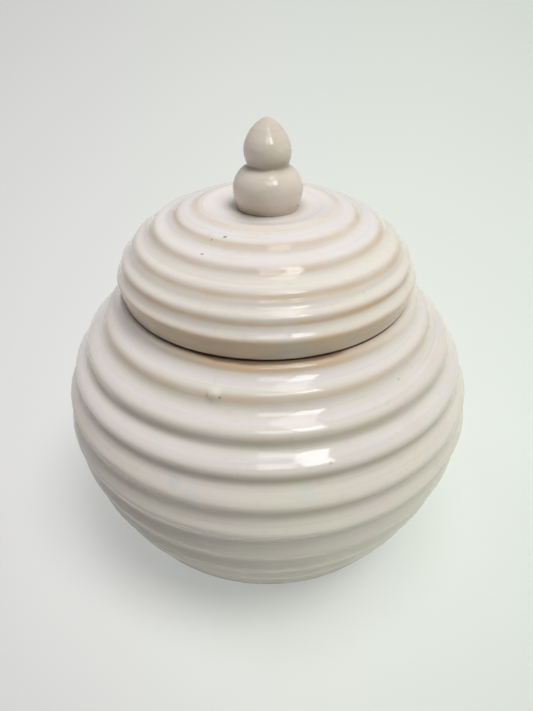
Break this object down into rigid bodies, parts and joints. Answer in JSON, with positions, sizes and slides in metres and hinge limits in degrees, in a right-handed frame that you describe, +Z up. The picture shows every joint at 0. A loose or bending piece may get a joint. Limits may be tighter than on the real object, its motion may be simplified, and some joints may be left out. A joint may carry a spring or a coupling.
{
  "type": "lidded urn",
  "caption": "Round ribbed jar with a low foot and a short neck, closed by a ribbed domed lid with a double-gourd finial; the lid lifts off.",
  "frame": {"origin": "on the surface the jar stands on, under the middle of the foot ring", "axes": "+Z up along the jar's axis of revolution, through the finial; +X and +Y are alike"},
  "size_m": [0.1816, 0.1816, 0.1879],
  "materials": {
    "jar_glaze": "glossy cream-white glaze, thin and tan over the rib crests",
    "lid_glaze": "glossy cream-white glaze, thin and tan over the rib crests",
    "finial_glaze": "glossy beige glaze, a shade warmer than the jar's"
  },
  "bodies": {
    "jar": {"jar_body": "jar_glaze"},
    "lid": {"lid_dome": "lid_glaze", "finial": "finial_glaze"}
  },
  "joints": [
    {"name": "lid_lift", "type": "slide", "parent": "jar", "child": "lid", "axis": [0, 0, 1], "range_m": [0, 0.08]}
  ]
}
